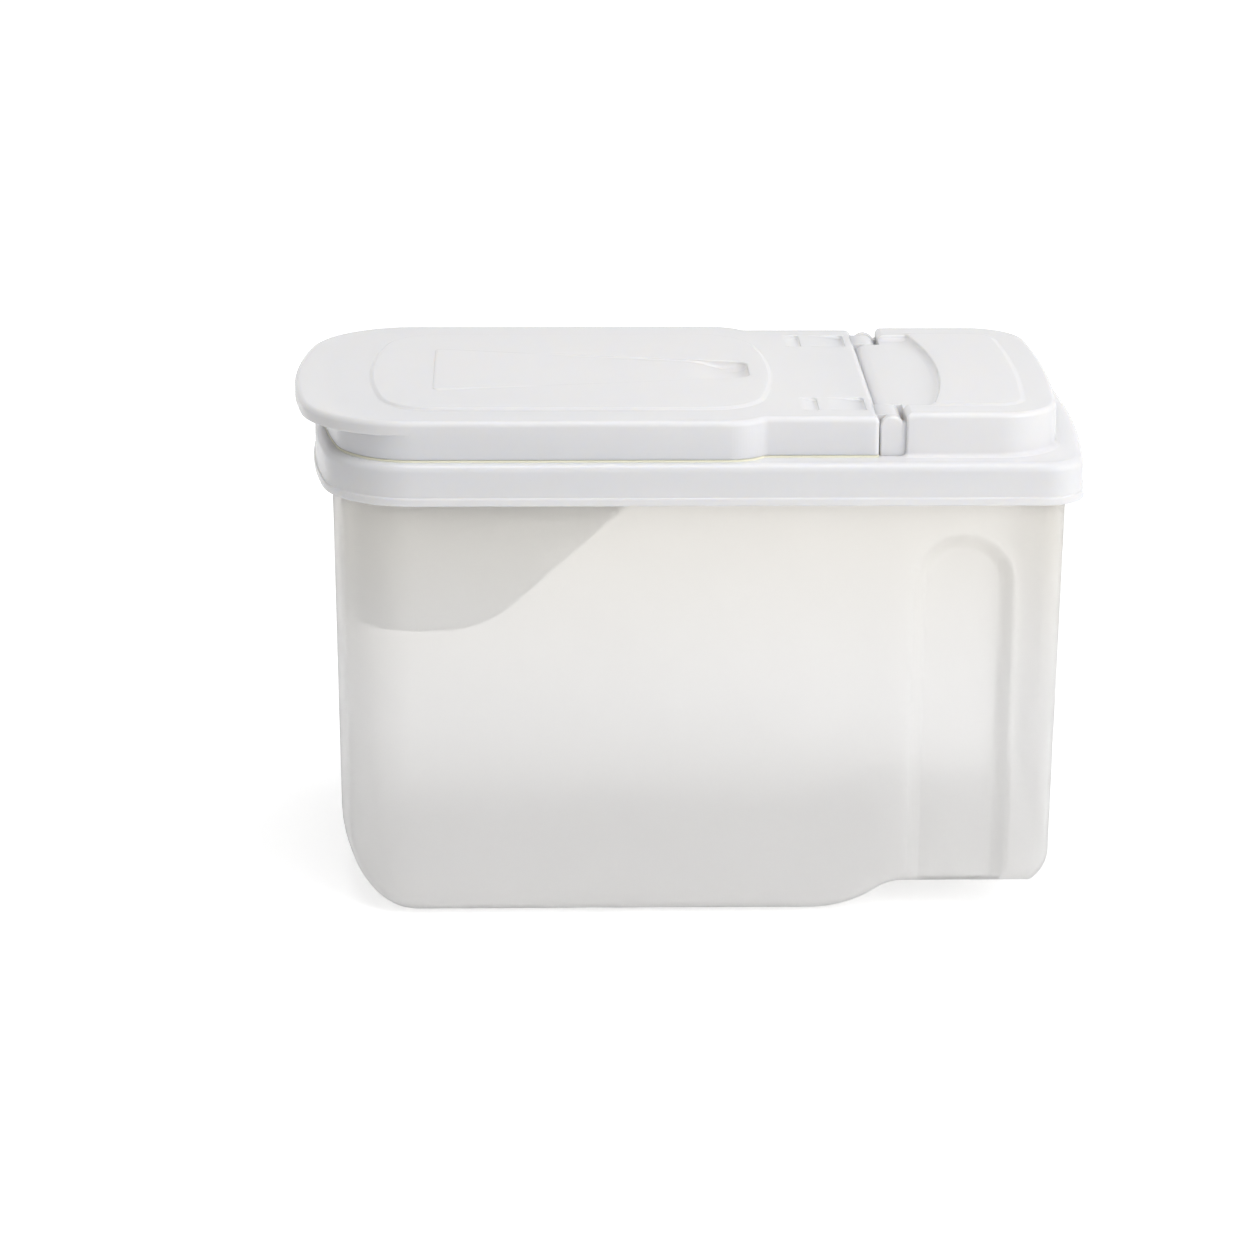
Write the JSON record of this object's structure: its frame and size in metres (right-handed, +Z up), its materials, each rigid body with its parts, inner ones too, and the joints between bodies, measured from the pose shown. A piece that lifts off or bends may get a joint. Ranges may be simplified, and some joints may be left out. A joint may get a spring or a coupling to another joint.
{
  "type": "rice bin",
  "caption": "Tall translucent food bin with a press-on base lid, a hinged flip lid with a finger lip, two seals and a hanging measuring scoop.",
  "frame": {"origin": "on the floor, midway along and across the closed bin", "axes": "+X from the pouring end with the finger lip towards the grip end with the platform, +Y across, +Z up"},
  "size_m": [0.3323, 0.1838, 0.2183],
  "materials": {
    "milky_plastic": "translucent natural polypropylene, satin",
    "white_plastic": "opaque white polypropylene, soft gloss",
    "grey_plastic": "light grey polypropylene, satin",
    "soft_seal": "natural soft elastomer"
  },
  "bodies": {
    "bin": {"container": "milky_plastic"},
    "lid": {"base_lid": "white_plastic", "rim_seal": "soft_seal", "flip_lid_seal": "soft_seal"},
    "flap": {"flip_lid": "white_plastic"},
    "scoop": {"measuring_scoop": "grey_plastic"}
  },
  "joints": [
    {"name": "lid_lift", "type": "slide", "parent": "bin", "child": "lid", "axis": [0, 0, 1], "range_m": [0, 0.12]},
    {"name": "flap_hinge", "type": "hinge", "parent": "lid", "child": "flap", "pos_m": [0.0838, 0, 0.211], "axis": [0, 1, 0], "range_deg": [0, 95]},
    {"name": "scoop_slide", "type": "slide", "parent": "lid", "child": "scoop", "axis": [1, 0, 0], "range_m": [0, 0.08]}
  ]
}
